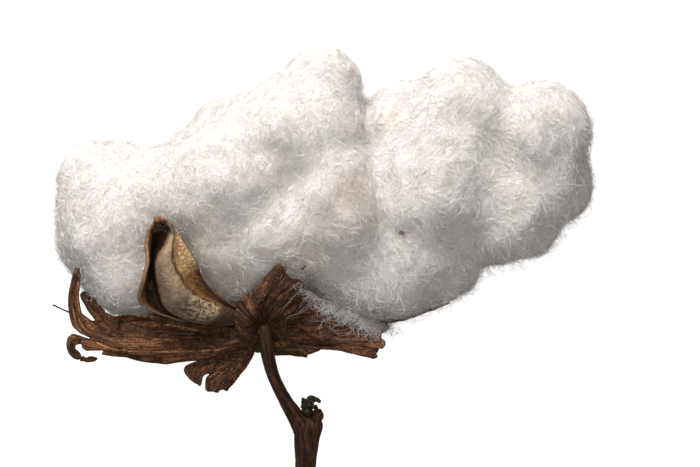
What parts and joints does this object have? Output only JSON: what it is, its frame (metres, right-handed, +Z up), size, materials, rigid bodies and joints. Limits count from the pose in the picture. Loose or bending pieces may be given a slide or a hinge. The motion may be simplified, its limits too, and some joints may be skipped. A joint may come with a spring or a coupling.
{
  "type": "cotton boll",
  "caption": "Open cotton boll lying on its side: fluffy locks of lint in a dry split husk with toothed bracts, on a bent stalk with a stub of branch.",
  "frame": {"origin": "middle of the footprint of the whole boll, on the surface it lies on", "axes": "+X along the spread of the lint, +Y from the cut branch towards the top of the lint, +Z up from the surface"},
  "size_m": [0.114, 0.0926, 0.0461],
  "materials": {
    "lint": "soft matte white fibre",
    "husk": "dry, tan to dark brown",
    "bract": "dry brown leaf, dull",
    "stalk": "dark reddish brown bark, dull",
    "bud": "shrivelled, grey-brown, dull",
    "seed": "dark brown, dull"
  },
  "bodies": {
    "root": {"lint_lock_left": "lint", "lint_lock_middle": "lint", "lint_lock_right": "lint", "lint_lock_back": "lint", "husk": "husk", "bract_left": "bract", "bract_right": "bract", "bract_back": "bract", "stem": "stalk", "dried_bud": "bud", "seed_lower": "seed", "seed_upper": "seed"}
  },
  "joints": []
}
